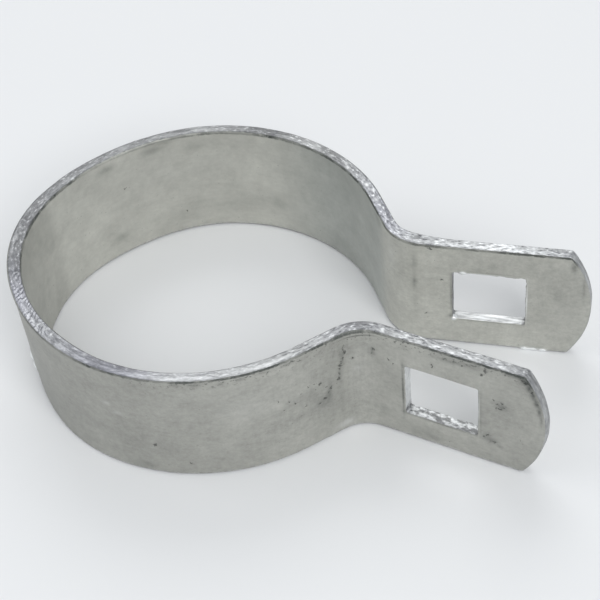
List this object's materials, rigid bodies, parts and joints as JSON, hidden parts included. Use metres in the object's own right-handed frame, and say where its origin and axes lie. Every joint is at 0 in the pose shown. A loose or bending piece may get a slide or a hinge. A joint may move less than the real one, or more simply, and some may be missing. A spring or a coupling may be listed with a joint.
{
  "type": "brace band",
  "caption": "Galvanised steel band that clamps round a fence post, with two slotted ears that take a carriage bolt and a rail end or brace.",
  "frame": {"origin": "on the post's axis, at half the strip's width", "axes": "+Z along the post, +X from the post towards the ears"},
  "size_m": [0.0962, 0.0644, 0.0222],
  "materials": {
    "galvanised": "matt hot-dip zinc, brighter on the strip's edges"
  },
  "bodies": {
    "root": {"band": "galvanised"}
  },
  "joints": []
}
